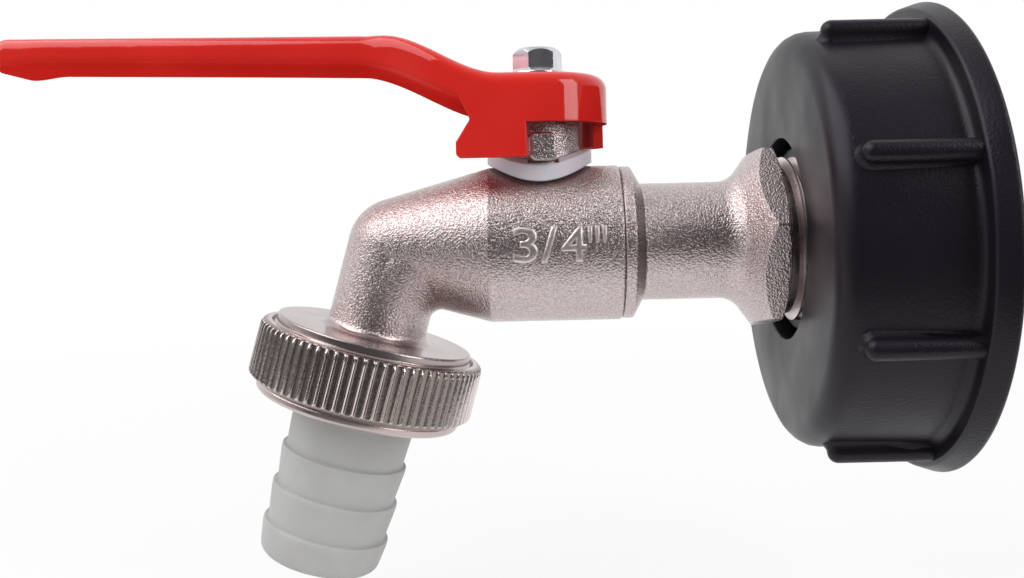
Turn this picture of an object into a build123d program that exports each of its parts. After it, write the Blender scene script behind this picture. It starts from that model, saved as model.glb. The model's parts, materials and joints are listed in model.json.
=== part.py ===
from build123d import *
import os
from math import acos, atan2, cos, degrees, hypot, radians, sin, sqrt, tan

# Outlet tap for a bulk liquid container: a screw cap for the S60x6 tank outlet,
# a G3/4 ball-valve bib tap with a red lever, and a hose tail held by a union nut.
# Millimetres. The origin is the centre of the cap's open mouth. +X leaves the
# mouth towards the tank, +Z is up, and the lever's arm points along -X when open.

# Screw cap
cap_depth = 22.65
cap_wall = 3.2
cap_draft = 0.4
cap_edge_r = 3.6
cap_floor = 4.8
flange_step = 3.25
flange_flare = 1.2
flange_thick = 3.65
flange_edge_r = 0.7
flange_root_r = 1.4
tank_thread_depth = 2.3
tank_thread_len = 9.4
rib_count = 8
rib_width = 3.2
rib_height = 2.5
rib_set_back = 3.3
rib_turn_deg = 1.2
boss_len = 12.5
boss_wall = 1.4
boss_set_back = 2.0
boss_edge = 0.8
boss_rim = 2.3
pocket_width = 1.63
pocket_depth = 8.5
web_count = 12
web_thick = 1.2
web_set_back = 2.6

# Gasket on the cap's floor
cap_gasket_thick = 3.0
cap_gasket_width = 10.0
cap_gasket_gap = 1.4
cap_gasket_edge_r = 0.4

# Inlet connector
inlet_thread_r = 13.22
inlet_thread_len = 14.0
inlet_thread_chamfer = 1.0
inlet_undercut = 0.6
inlet_undercut_depth = 0.9
inlet_undercut_lead = 0.4
inlet_bore_r = 7.0
inlet_throat_len = 2.5
inlet_funnel_len = 2.5
thread_show = 1.7
hex_across_flats = 27.0
hex_thick = 3.2
hex_corner_cut = 0.9
hex_turn_deg = 16.0
tube_r = 9.44
tube_flare_r = 4.7
tube_len = 21.5
shoulder_r = 12.3
shoulder_len = 1.5
shoulder_taper = 1.9
spigot_r = 10.6

# Valve body
body_r = 12.5
body_front_len = 12.65
body_back_len = 8.25
body_edge = 0.4
spout_r = 8.0
spout_offset = 23.4
spout_tilt_deg = 15.6
spout_bore_r = 6.3
elbow_fillet_r = 2.2
elbow_web_steps = 5
neck_r = 6.5
neck_top = 21.0
lug_width = 4.2
lug_offset = 0.5
lug_reach = 9.75
lug_bottom = 13.15
lug_top = 17.6
lug_corner_r = 1.1
lug_face_edge = 0.5

# Threaded head of the spout, measured along the spout from the elbow's centre
head_start = 14.3
head_foot_r = 1.4
head_end = 21.2
head_r = 16.6
head_relief_depth = 0.7
head_relief_len = 1.2
head_face_width = 5.1
head_mouth_depth = 3.2
head_edge = 0.3

# Ball, seats and stem
ball_r = 8.4
ball_bore_r = 5.0
ball_slot_width = 3.6
ball_slot_depth = 2.4
seat_thick = 3.6
seat_hole_r = 5.4
chamber_r = 9.2
stem_r = 3.94
stem_flange_r = 5.0
stem_flange_thick = 1.4
thrust_washer_thick = 0.7
stem_shoulder = 24.95
stem_drive_flats = 5.6
stem_drive_len = 1.7
stem_groove_depth = 1.35
stem_groove_width = 1.6
stem_groove_height = 13.2
stem_groove_pitch = 3.4
stem_edge_r = 0.3
stem_tang_inset = 0.2
o_ring_section_r = 0.62

# Saddle washer between body and lever
washer_r = 8.45
washer_thick = 2.0
washer_seat_gap = 0.6

# Lever
hub_r = 11.1
hub_top = 27.0
hub_wall = 1.8
hub_roof = 2.0
hub_edge_r = 2.3
hub_slope_run = 6.0
hub_left = 12.85
skirt_bottom = 13.8
skirt_back_bottom = 15.5
beak_height = 2.4
beak_notch_depth = 2.2
beak_notch_lean = 1.2
beak_corner_r = 0.5
beak_foot_r = 0.8
window_top = 19.2
turn_deg = 90.0
stop_gap_deg = 0.8
arm_reach = 86.75
arm_rise = 6.8
arm_end_rise = 0.7
arm_bottom_start = 20.9
arm_bottom_end = 28.0
arm_bottom_taper = 1.7
arm_bend_start = 6.25
arm_bend_len = 18.75
arm_width = 12.2
arm_tip_width = 13.2
arm_edge_lag = 3.0
arm_section_share = 0.42
arm_corner_r = 2.2
arm_tip_len = 2.8
arm_tip_r = 4.4
arm_tip_bead = 0.7
arm_tip_lift = 0.4
arm_tip_angles = (0, 22, 42, 60, 74, 85)

# Lever screw
screw_head_flats = 7.0
screw_head_turn_deg = 9.0
screw_head_top = 31.7
screw_flange_r = 4.75
screw_flange_thick = 1.3
screw_flange_edge = 0.7
screw_head_crown = 0.9
screw_shank_r = 1.96
screw_len = 7.5

# Union nut, hose tail and tail gasket
nut_wall = 1.64
nut_top_gap = 1.3
nut_band_past_lip = 0.6
nut_lip_len = 2.0
nut_lip_inset = 1.7
nut_edge = 0.8
nut_wall_gap = 0.06
nut_lip_gap = 0.5
tail_stub_r = 10.2
tail_flange_inset = 1.7
tail_flange_thick = 1.8
tail_gasket_thick = 1.3
tail_gasket_inset = 1.5
tail_bore_r = 7.5
barb_start = 10.2
barb_count = 3
barb_pitch = 6.05
barb_crest_r = 10.2
barb_root_r = 9.55
barb_land = 0.5
tail_end_len = 5.4
tail_end_round = 1.6

# Clearances
seat_gap = 0.1
face_gap = 0.05
fit_gap = 0.06
washer_gap = 0.3
overlap = 0.5
overrun = 1.0

# Places worked out from the sizes above
boss_bore_r = inlet_thread_r + face_gap
boss_wall_r = boss_bore_r + boss_wall
pocket_r = boss_wall_r + pocket_width
boss_r = pocket_r + boss_rim
cap_gasket_hole_r = boss_r + cap_gasket_gap
tank_thread_root_r = cap_gasket_hole_r + cap_gasket_width + washer_gap
tank_thread_crest_r = tank_thread_root_r - tank_thread_depth
cap_body_r = tank_thread_root_r + cap_wall
flange_front_r = cap_body_r + flange_step
flange_back_r = flange_front_r + flange_flare
rib_reach_r = cap_body_r + rib_height
cap_front = -cap_depth
hex_front = cap_front - thread_show
hex_back = hex_front - hex_thick
seam = hex_back - tube_len
stem_x = seam - body_front_len
elbow_x = stem_x - spout_offset
tilt = radians(spout_tilt_deg)
spout_down = Vector(-sin(tilt), 0, -cos(tilt))
main_axis = Plane(origin=(0, 0, 0), x_dir=(0, 0, -1), z_dir=(1, 0, 0))
spout_axis = Plane(origin=(elbow_x, 0, 0), x_dir=(cos(tilt), 0, -sin(tilt)), z_dir=spout_down)
stem_axis = Plane(origin=(stem_x, 0, 0), x_dir=(1, 0, 0), z_dir=(0, 0, 1))
chamber_half = ball_r + 0.2
head_relief_r = head_r - head_relief_depth
head_mouth_r = head_r - head_face_width
nut_bore_r = head_r + nut_wall_gap
nut_r = nut_bore_r + nut_wall
nut_lip_r = nut_r - nut_lip_inset
tail_flange_r = head_r - tail_flange_inset
nut_start = head_start + nut_top_gap
tail_flange_start = head_end + tail_gasket_thick + face_gap
nut_lip_start = tail_flange_start + tail_flange_thick + face_gap
nut_end = nut_lip_start + nut_lip_len
barb_zero = nut_lip_start + barb_start
tail_tip = barb_zero + (barb_count - 1) * barb_pitch + tail_end_len
stem_flange_bottom = ball_r + 0.2
stem_flange_top = stem_flange_bottom + stem_flange_thick
neck_shoulder = stem_flange_top + thrust_washer_thick + face_gap


def outline(corners):
    """Closed face from corners given as (x, y) or (x, y, corner radius)."""
    points = [Vector(c[0], c[1]) for c in corners]
    radii = [c[2] if len(c) > 2 else 0.0 for c in corners]
    count = len(points)
    arrive, depart, arcs = [], [], []
    for i, point in enumerate(points):
        if radii[i] == 0.0:
            arrive.append(point)
            depart.append(point)
            continue
        back = (points[i - 1] - point).normalized()
        ahead = (points[(i + 1) % count] - point).normalized()
        half = acos(max(-1.0, min(1.0, back.dot(ahead)))) / 2
        reach = radii[i] / tan(half)
        middle = (back + ahead).normalized()
        crown = point + middle * (radii[i] / sin(half) - radii[i])
        arrive.append(point + back * reach)
        depart.append(point + ahead * reach)
        arcs.append(ThreePointArc(arrive[i], crown, depart[i]))
    lines = []
    for i in range(count):
        start, end = depart[i], arrive[(i + 1) % count]
        if (end - start).length > 1e-6:
            lines.append(Line(start, end))
    return make_face(arcs + lines)


def turned(corners):
    """Solid of revolution about +Z from (radius, height) corners."""
    return revolve(Plane.XZ * outline(corners), axis=Axis.Z)


def on(plane, shape):
    """The shape moved from its own frame onto a plane."""
    return plane.location * shape


def rod(radius, start, end):
    """Cylinder along +Z between two heights."""
    return Pos(0, 0, (start + end) / 2) * Cylinder(radius, end - start)


def block(x0, x1, y0, y1, z0, z1):
    """Box between two corners."""
    return Pos((x0 + x1) / 2, (y0 + y1) / 2, (z0 + z1) / 2) * Box(x1 - x0, y1 - y0, z1 - z0)


def smooth(t):
    """Rise from 0 to 1 that starts and ends level."""
    t = max(0.0, min(1.0, t))
    return t * t * (3 - 2 * t)


def grip_rib():
    """One rounded grip bar of the cap, lying along X on the -Y side."""
    half = rib_width / 2
    crown_r = rib_reach_r - half
    root_r = cap_body_r - cap_wall / 2
    start = cap_front + rib_set_back + half
    end = -flange_thick + flange_edge_r
    foot = block(start, end, -crown_r, -root_r, -half, half)
    nose = Pos(start, -(crown_r + root_r) / 2, 0) * Rot(90, 0, 0) * Cylinder(half, crown_r - root_r)
    crown = Pos((start + end) / 2, -crown_r, 0) * Rot(0, 90, 0) * Cylinder(half, end - start)
    return foot + nose + crown + Pos(start, -crown_r, 0) * Sphere(half)


def screw_cap():
    """Moulded cap: tank thread inside, G3/4 boss in the floor, grip ribs outside."""
    floor_x = cap_front + cap_floor
    shell = turned([
        (tank_thread_crest_r, 0), (flange_back_r, 0, flange_edge_r),
        (flange_front_r, -flange_thick, flange_edge_r),
        (cap_body_r, -flange_thick, flange_root_r),
        (cap_body_r - cap_draft, cap_front, cap_edge_r), (boss_r - overrun, cap_front),
        (boss_r - overrun, floor_x), (tank_thread_root_r, floor_x),
        (tank_thread_root_r, -tank_thread_len), (tank_thread_crest_r, -tank_thread_len)])
    boss = turned([
        (boss_bore_r, cap_front), (boss_r, cap_front), (boss_r, cap_front + boss_len, boss_edge),
        (boss_bore_r, cap_front + boss_len)])
    pocket = turned([
        (boss_bore_r - overrun, cap_front - overrun), (pocket_r, cap_front - overrun),
        (pocket_r, cap_front + pocket_depth), (boss_wall_r, cap_front + pocket_depth),
        (boss_wall_r, cap_front + boss_set_back),
        (boss_bore_r - overrun, cap_front + boss_set_back)])
    webs = [
        Rot(0, 0, 360 / web_count * i) * block(
            boss_bore_r + boss_wall / 2, pocket_r + boss_rim / 2, -web_thick / 2, web_thick / 2,
            cap_front + web_set_back, cap_front + pocket_depth + overrun)
        for i in range(web_count)]
    cap = on(main_axis, shell + boss - pocket + webs)
    ribs = [Rot(360 / rib_count * (i + 0.5) + rib_turn_deg, 0, 0) * grip_rib()
            for i in range(rib_count)]
    return cap + ribs


def cap_gasket():
    """Flat ring that seals on the tank outlet's rim, held behind the thread."""
    floor_x = cap_front + cap_floor
    return on(main_axis, turned([
        (cap_gasket_hole_r, floor_x), (tank_thread_root_r - washer_gap, floor_x),
        (tank_thread_root_r - washer_gap, floor_x + cap_gasket_thick, cap_gasket_edge_r),
        (cap_gasket_hole_r, floor_x + cap_gasket_thick, cap_gasket_edge_r)]))


def hexagon_nut_body():
    """Hexagon of the inlet connector with its corners cut by cones."""
    corner_r = hex_across_flats / sqrt(3)
    prism = extrude(Pos(0, 0, hex_back) * Rot(0, 0, hex_turn_deg) * RegularPolygon(
        corner_r, 6), hex_thick)
    envelope = turned([
        (0, hex_back), (corner_r - 2 * hex_corner_cut, hex_back),
        (corner_r, hex_back + hex_corner_cut), (corner_r, hex_front - hex_corner_cut),
        (corner_r - 2 * hex_corner_cut, hex_front), (0, hex_front)])
    return prism & envelope


def inlet_connector():
    """Inlet tail: G3/4 thread, hexagon, tube, and the spigot that holds the ball in."""
    spigot_end = stem_x + chamber_half
    thread_end = hex_front + inlet_thread_len
    undercut_r = inlet_thread_r - inlet_undercut_depth
    turned_part = turned([
        (0, spigot_end), (spigot_r - fit_gap, spigot_end), (spigot_r - fit_gap, seam),
        (shoulder_r, seam, body_edge), (shoulder_r, seam + shoulder_len),
        (tube_r, seam + shoulder_len + shoulder_taper), (tube_r, hex_back, tube_flare_r),
        (tube_r + tube_flare_r, hex_back), (tube_r + tube_flare_r, hex_front - overrun),
        (undercut_r, hex_front - overrun), (undercut_r, hex_front + inlet_undercut),
        (inlet_thread_r, hex_front + inlet_undercut + inlet_undercut_lead),
        (inlet_thread_r, thread_end - inlet_thread_chamfer),
        (inlet_thread_r - inlet_thread_chamfer, thread_end), (0, thread_end)])
    solid = turned_part + hexagon_nut_body()
    throat_end = spigot_end + inlet_throat_len
    way = turned([
        (0, spigot_end - overrun), (seat_hole_r, spigot_end - overrun),
        (seat_hole_r, throat_end), (inlet_bore_r, throat_end + inlet_funnel_len),
        (inlet_bore_r, thread_end + overrun), (0, thread_end + overrun)])
    return on(main_axis, solid - way)


def cone_slope():
    """Angle of the cone that runs from the barrel onto the elbow's ball."""
    run = spout_offset - body_back_len
    return acos(spout_r / hypot(run, body_r)) - atan2(run, body_r)


def elbow_web():
    """Rounded inner corner of the elbow: circles fanned about the fillet's centre."""
    slope = cone_slope()
    cone_out = Vector(-sin(slope), 0, -cos(slope))
    spout_out = Vector(cos(tilt), 0, -sin(tilt))
    middle = (cone_out + spout_out).normalized()
    corner = Vector(elbow_x, 0, 0) + middle * (
        (spout_r + elbow_fillet_r) / middle.dot(cone_out))
    touch_x = corner.X - cone_out.X * elbow_fillet_r
    cone_r = body_r - (stem_x - body_back_len - touch_x) * tan(slope)
    sections = []
    for step in range(elbow_web_steps + 1):
        share = step / elbow_web_steps
        turn = (radians(90) - tilt) * share - slope * (1 - share)
        heading = Vector(-sin(turn), 0, cos(turn))
        radius = spout_r + (cone_r - spout_r) * (1 - share) ** 2
        plane = Plane(origin=corner + heading * (elbow_fillet_r + radius),
                      x_dir=(0, 1, 0), z_dir=(-cos(turn), 0, -sin(turn)))
        sections.append(plane * Circle(radius - face_gap))
    return loft(sections)


def body_casting():
    """Outside of the body: barrel, cone, elbow ball, spout and the eased inner corner."""
    slope = cone_slope()
    barrel = turned([
        (0, seam), (body_r, seam, body_edge), (body_r, stem_x - body_back_len),
        (spout_r * cos(slope), elbow_x - spout_r * sin(slope)),
        (0, elbow_x - spout_r * sin(slope))])
    elbow = Pos(elbow_x, 0, 0) * Sphere(spout_r)
    spout = on(spout_axis, rod(spout_r, 0, head_start + overrun))
    return on(main_axis, barrel) + elbow + spout + elbow_web()


def stop_lug():
    """Stop lug on the neck's -Y side, which ends the lever's turn both ways."""
    left = stem_x + lug_offset - lug_width / 2
    lug = block(left, left + lug_width, -lug_reach, -neck_r / 2, lug_bottom, lug_top)
    lug = fillet(lug.edges().filter_by(Axis.Y), lug_corner_r)
    return fillet(lug.faces().sort_by(Axis.Y)[0].edges(), lug_face_edge)


def valve_body():
    """Cast body with the ball chamber, the neck with its stop lug, and the spout."""
    neck = on(stem_axis, rod(neck_r, chamber_r, neck_top))
    foot_start = head_start - 2 * head_foot_r
    head = on(spout_axis, turned([
        (0, foot_start), (spout_r, foot_start), (spout_r, head_start, head_foot_r),
        (head_relief_r, head_start, head_edge), (head_relief_r, head_start + head_relief_len),
        (head_r, head_start + head_relief_len + head_relief_depth),
        (head_r, head_end, head_edge), (0, head_end)]))
    solid = body_casting() + neck + stop_lug() + head
    chamber = on(main_axis, turned([
        (0, elbow_x), (seat_hole_r, elbow_x), (seat_hole_r, stem_x - chamber_half),
        (chamber_r, stem_x - chamber_half), (chamber_r, stem_x + chamber_half),
        (spigot_r, stem_x + chamber_half), (spigot_r, seam + overrun), (0, seam + overrun)]))
    stem_way = on(stem_axis, turned([
        (0, 0), (stem_flange_r + fit_gap * 2, 0), (stem_flange_r + fit_gap * 2, neck_shoulder),
        (stem_r + fit_gap, neck_shoulder), (stem_r + fit_gap, neck_top + overrun),
        (0, neck_top + overrun)]))
    spout_way = on(spout_axis, turned([
        (0, 0), (spout_bore_r, 0), (spout_bore_r, head_end - head_mouth_depth),
        (head_mouth_r, head_end - head_mouth_depth), (head_mouth_r, head_end + overrun),
        (0, head_end + overrun)]))
    bend = Pos(elbow_x, 0, 0) * Sphere(spout_bore_r)
    return solid - chamber - stem_way - spout_way - bend


def ball():
    """Bored ball with a slot across its top for the stem's tang."""
    bore = Rot(0, 90, 0) * Cylinder(ball_bore_r, 3 * ball_r)
    slot = block(-ball_slot_width / 2, ball_slot_width / 2, -ball_r, ball_r,
                 ball_r - ball_slot_depth, ball_r + overrun)
    return on(stem_axis, Sphere(ball_r) - bore - slot)


def seat(side):
    """Seat ring on one side of the ball; side is +1 towards the tank, -1 towards the spout."""
    outer_r = chamber_r - face_gap
    start, end = chamber_half - seat_thick, chamber_half
    ring = turned([
        (seat_hole_r, start), (outer_r, start), (outer_r, end), (seat_hole_r, end)])
    ring = ring - Sphere(ball_r + seat_gap)
    return Pos(stem_x, 0, 0) * Rot(0, 90 * side, 0) * ring


def stem():
    """Stem put in from inside: tang, flange, two ring grooves, shoulder and drive flats."""
    top = stem_shoulder + stem_drive_len
    corners = [(0, stem_flange_bottom), (stem_flange_r, stem_flange_bottom),
               (stem_flange_r, stem_flange_top), (stem_r, stem_flange_top)]
    for i in range(2):
        low = stem_groove_height + i * stem_groove_pitch - stem_groove_width / 2
        high = low + stem_groove_width
        corners += [(stem_r, low), (stem_r - stem_groove_depth, low),
                    (stem_r - stem_groove_depth, high), (stem_r, high)]
    corners += [(stem_r, top, stem_edge_r), (0, top)]
    shaft = turned(corners)
    for side in (-1, 1):
        inner, outer = stem_drive_flats / 2, stem_r + overrun
        x0, x1 = min(side * inner, side * outer), max(side * inner, side * outer)
        shaft = shaft - block(x0, x1, -outer, outer, stem_shoulder, top + overrun)
    half = (ball_slot_width - face_gap * 2) / 2
    tang = block(-half, half, -stem_flange_r, stem_flange_r,
                 ball_r - ball_slot_depth + face_gap, stem_flange_bottom + overlap)
    tang = tang & rod(stem_flange_r - stem_tang_inset, 0, stem_flange_top)
    screw_hole = rod(screw_shank_r + face_gap, hub_top - screw_len - overlap, top + overrun)
    return on(stem_axis, shaft + tang - screw_hole)


def thrust_washer():
    """Thin ring between the stem's flange and the neck's shoulder."""
    bottom = stem_flange_top
    return on(stem_axis, turned([
        (stem_r + fit_gap, bottom), (stem_flange_r, bottom),
        (stem_flange_r, bottom + thrust_washer_thick),
        (stem_r + fit_gap, bottom + thrust_washer_thick)]))


def stem_o_ring(index):
    """Sealing ring in one of the stem's two grooves."""
    ring_r = stem_r - stem_groove_depth + o_ring_section_r + face_gap
    height = stem_groove_height + index * stem_groove_pitch
    return on(stem_axis, Pos(0, 0, height) * Torus(ring_r, o_ring_section_r))


def saddle_washer():
    """White washer bent over the barrel, with a notch for the stop lug."""
    under_r = body_r + washer_seat_gap
    sleeve = turned([
        (under_r, stem_x - washer_r - overrun), (under_r + washer_thick, stem_x - washer_r - overrun),
        (under_r + washer_thick, stem_x + washer_r + overrun),
        (under_r, stem_x + washer_r + overrun)])
    disc = on(stem_axis, rod(washer_r, 0, hub_top))
    hole = on(stem_axis, rod(neck_r + washer_gap, 0, hub_top))
    notch = block(stem_x + lug_offset - lug_width / 2 - washer_gap,
                  stem_x + lug_offset + lug_width / 2 + washer_gap,
                  -washer_r - overrun, 0, lug_bottom - washer_gap, lug_top)
    return (on(main_axis, sleeve) & disc) - hole - notch


def arm_section(x, top, bottom, width):
    """Rounded cross-section of the lever's arm at a distance x to the left of the stem."""
    plane = Plane(origin=(-x, 0, (top + bottom) / 2), x_dir=(0, 1, 0), z_dir=(-1, 0, 0))
    radius = min(arm_corner_r, arm_section_share * (top - bottom), arm_section_share * width)
    return plane * RectangleRounded(width, top - bottom, radius)


def arm_levels(x):
    """Top, bottom and width of the arm at a distance x from the stem."""
    bend_end = arm_bend_start + arm_bend_len
    straight = max(0.0, (x - bend_end) / (arm_reach - bend_end))
    top = hub_top + arm_rise * smooth((x - arm_bend_start) / arm_bend_len)
    top += arm_end_rise * straight
    drop = smooth((x - arm_bend_start - arm_edge_lag / 3) / (arm_bend_len + arm_edge_lag))
    bottom = arm_bottom_start + (arm_bottom_end - arm_bottom_start) * drop
    bottom += arm_bottom_taper * straight
    bottom -= arm_tip_bead * smooth((x - arm_reach + 3 * arm_tip_len) / (2 * arm_tip_len))
    narrow = smooth((x - hub_left) / (bend_end - hub_left + arm_edge_lag))
    width = 2 * hub_r + (arm_width - 2 * hub_r) * narrow
    width += (arm_tip_width - arm_width) * smooth(straight)
    return top, bottom, width


def arm_run(start, end, steps):
    """Stretch of the arm between two distances from the stem."""
    places = [start + (end - start) * k / steps for k in range(steps + 1)]
    return loft([arm_section(x, *arm_levels(x)) for x in places])


def arm_tip(start):
    """Rounded end of the arm, its sections shrinking along a quarter round."""
    sections = []
    for angle in arm_tip_angles:
        x = start + arm_tip_len * sin(radians(angle))
        top, bottom, width = arm_levels(x)
        shrink = 1 - cos(radians(angle))
        lift = (top - bottom) * arm_tip_lift * shrink
        sections.append(arm_section(x, top - lift, bottom + lift, width - 2 * arm_tip_r * shrink))
    return loft(sections)


def lever_arm():
    """Arm that rises from the hub, runs level and ends in a beaded, rounded tip."""
    level_start = arm_bend_start + arm_bend_len + arm_edge_lag
    bead_start = arm_reach - 3.2 * arm_tip_len
    tip_start = arm_reach - arm_tip_len
    return (arm_run(arm_bend_start, hub_left, 3) + arm_run(hub_left, level_start, 6)
            + arm_run(level_start, bead_start, 3) + arm_run(bead_start, tip_start, 4)
            + arm_tip(tip_start))


def hub_plan(inset, left):
    """Plan of the hub: a half round on the right, straight walls to the left."""
    radius = hub_r - inset
    walls = outline([(0, -radius), (0, radius), (-left, radius), (-left, -radius)])
    return Circle(radius) + walls


def lever_hub():
    """Hollow hub: roof, skirt with the stop window, and the beaks beside the arm."""
    block_height = hub_top - skirt_bottom
    shell = Pos(0, 0, skirt_bottom) * extrude(hub_plan(0, hub_left), block_height)
    shell = fillet(shell.faces().sort_by(Axis.Z)[-1].edges(), hub_edge_r)
    foot = shell.faces().sort_by(Axis.X)[0].edges().sort_by(Axis.Z)[0]
    shell = fillet(foot, beak_foot_r)
    past = hub_left + beak_corner_r * 2
    beak_top = skirt_bottom + beak_height
    notch_x = hub_left - beak_notch_depth
    notch_top = arm_levels(hub_left)[1] + arm_corner_r
    side_cut = Plane.XZ * outline([
        (-past, beak_top), (-hub_left, beak_top, beak_corner_r),
        (-notch_x, arm_bottom_start - beak_notch_lean, beak_corner_r),
        (-hub_left, notch_top), (-past, notch_top)])
    return shell - extrude(side_cut, 2 * hub_r, both=True)


def hub_hollow():
    """Space inside the hub, which slopes out under the arm and opens to the left."""
    past = hub_left + hub_r
    plan = extrude(hub_plan(hub_wall, past), hub_top)
    roof = hub_top - hub_roof
    throat = arm_bottom_start + hub_wall / 2
    side = Plane.XZ * outline([
        (hub_r, 0), (hub_r, roof), (-hub_slope_run, roof, 1.0), (-hub_left + hub_wall, throat),
        (-past, throat), (-past, 0)])
    return plan & extrude(side, 2 * hub_r, both=True)


def stop_window():
    """Sector cut in the skirt in which the stop lug stands."""
    wall_r = hub_r - hub_wall
    lug_left = degrees(atan2(-wall_r, lug_offset - lug_width / 2)) - stop_gap_deg
    lug_right = degrees(atan2(-wall_r, lug_offset + lug_width / 2)) + stop_gap_deg
    reach = 3 * hub_r
    start, end = radians(lug_left), radians(lug_right + turn_deg)
    middle = (start + end) / 2
    wedge = make_face(Polyline([
        (0, 0), (reach * cos(start), reach * sin(start)),
        (reach * cos(middle), reach * sin(middle)), (reach * cos(end), reach * sin(end)), (0, 0)]))
    return extrude(wedge, window_top)


def lever():
    """Red lever: hub, arm, hollow, stop window and the drive hole in the roof."""
    solid = lever_hub() + lever_arm()
    solid = solid - hub_hollow() - stop_window()
    reach = hub_r + hub_left
    raised = block(-reach, reach, 0, reach, 0, skirt_back_bottom) + block(
        0, reach, -reach, reach, 0, skirt_back_bottom)
    low, high = hub_top - hub_roof - overrun, hub_top + overrun
    drive = rod(stem_r + face_gap, low, high) & block(
        -stem_drive_flats / 2 - face_gap, stem_drive_flats / 2 + face_gap, -hub_r, hub_r, low, high)
    return on(stem_axis, solid - raised - drive)


def lever_screw():
    """Flanged hexagon screw that clamps the lever to the stem."""
    corner_r = screw_head_flats / sqrt(3)
    flange_top = hub_top + screw_flange_thick
    head_bottom = hub_top + overlap
    hexagon = Rot(0, 0, screw_head_turn_deg) * RegularPolygon(corner_r, 6)
    prism = Pos(0, 0, head_bottom) * extrude(hexagon, screw_head_top - head_bottom)
    dome = turned([
        (0, hub_top), (corner_r, hub_top), (corner_r, screw_head_top - screw_head_crown),
        (corner_r - screw_head_crown, screw_head_top), (0, screw_head_top)])
    flange = turned([
        (0, hub_top), (screw_flange_r, hub_top),
        (screw_flange_r, hub_top + screw_flange_edge, screw_flange_edge / 2),
        (corner_r, flange_top), (0, flange_top)])
    shank = rod(screw_shank_r, hub_top - screw_len, head_bottom)
    return on(stem_axis, (prism & dome) + flange + shank)


def union_nut():
    """Union nut: plain band for the knurl, thread bore and the lip that holds the tail."""
    lip_hole_r = tail_stub_r + nut_lip_gap
    band_end = nut_lip_start + nut_band_past_lip
    return on(spout_axis, turned([
        (nut_bore_r, nut_start), (nut_r - nut_edge, nut_start), (nut_r, nut_start + nut_edge),
        (nut_r, band_end - nut_edge / 2), (nut_lip_r, band_end + nut_edge / 2),
        (nut_lip_r, nut_end, nut_edge), (lip_hole_r, nut_end),
        (lip_hole_r, nut_lip_start), (nut_bore_r, nut_lip_start)]))


def hose_tail():
    """Plastic hose tail: flange, tapered stub and barbs round a straight bore."""
    flange_end = tail_flange_start + tail_flange_thick
    corners = [(tail_bore_r, tail_flange_start), (tail_flange_r, tail_flange_start),
               (tail_flange_r, flange_end), (tail_stub_r, flange_end), (barb_root_r, barb_zero)]
    for i in range(barb_count):
        edge = barb_zero + i * barb_pitch
        corners += [(barb_crest_r, edge), (barb_crest_r, edge + barb_land)]
        if i < barb_count - 1:
            corners += [(barb_root_r, edge + barb_pitch)]
    corners += [(barb_root_r, tail_tip, tail_end_round), (tail_bore_r, tail_tip)]
    return on(spout_axis, turned(corners))


def tail_gasket():
    """Flat ring between the spout's face and the tail's flange."""
    start = tail_flange_start - tail_gasket_thick
    hole_r = tail_bore_r + tail_gasket_inset
    return on(spout_axis, turned([
        (hole_r, start), (tail_flange_r, start),
        (tail_flange_r, tail_flange_start), (hole_r, tail_flange_start)]))


def build():
    """All nodes by name."""
    return {
        "screw_cap": screw_cap(), "cap_gasket": cap_gasket(),
        "inlet_connector": inlet_connector(), "valve_body": valve_body(),
        "ball": ball(), "front_seat": seat(1), "rear_seat": seat(-1), "stem": stem(),
        "stem_thrust_washer": thrust_washer(),
        "stem_o_ring_lower": stem_o_ring(0), "stem_o_ring_upper": stem_o_ring(1),
        "saddle_washer": saddle_washer(), "lever": lever(), "lever_screw": lever_screw(),
        "union_nut": union_nut(), "hose_tail": hose_tail(), "tail_gasket": tail_gasket()}


os.makedirs("parts", exist_ok=True)
for name, shape in build().items():
    export_step(shape, "parts/" + name + ".step")
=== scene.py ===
import bpy
import bmesh
import json
from math import atan2, cos, hypot, pi, radians, sin, sqrt
from mathutils import Matrix, Vector


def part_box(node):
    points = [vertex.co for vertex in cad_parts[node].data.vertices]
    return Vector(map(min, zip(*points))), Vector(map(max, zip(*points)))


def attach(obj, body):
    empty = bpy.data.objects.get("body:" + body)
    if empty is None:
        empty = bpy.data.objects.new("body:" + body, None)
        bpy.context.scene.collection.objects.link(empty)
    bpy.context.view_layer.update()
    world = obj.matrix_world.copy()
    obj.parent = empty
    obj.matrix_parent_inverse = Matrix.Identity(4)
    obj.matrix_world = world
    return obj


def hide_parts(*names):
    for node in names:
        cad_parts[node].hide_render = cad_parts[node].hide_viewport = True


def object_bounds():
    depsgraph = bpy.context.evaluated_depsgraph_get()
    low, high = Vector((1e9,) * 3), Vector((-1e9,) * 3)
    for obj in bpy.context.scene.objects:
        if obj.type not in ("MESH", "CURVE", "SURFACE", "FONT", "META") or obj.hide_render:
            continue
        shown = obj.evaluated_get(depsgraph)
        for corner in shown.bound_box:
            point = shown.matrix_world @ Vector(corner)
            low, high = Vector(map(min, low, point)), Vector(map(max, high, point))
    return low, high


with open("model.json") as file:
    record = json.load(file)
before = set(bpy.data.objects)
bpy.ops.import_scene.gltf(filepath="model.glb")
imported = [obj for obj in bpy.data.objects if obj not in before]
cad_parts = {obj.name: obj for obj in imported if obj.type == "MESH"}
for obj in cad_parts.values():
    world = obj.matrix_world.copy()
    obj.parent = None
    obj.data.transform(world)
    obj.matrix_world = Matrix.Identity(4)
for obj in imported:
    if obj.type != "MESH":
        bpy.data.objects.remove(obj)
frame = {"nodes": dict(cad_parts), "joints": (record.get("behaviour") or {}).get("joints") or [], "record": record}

# Outlet tap for a bulk liquid container. The frame's nodes and mounts give the places.
# Lengths are millimetres, brought to metres by MM, unless a heading says metres.
MM = 0.001
cad_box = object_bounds()
nodes = frame["nodes"]
mounts = {mount["name"]: mount for mount in frame["record"]["mounts"]}
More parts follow.
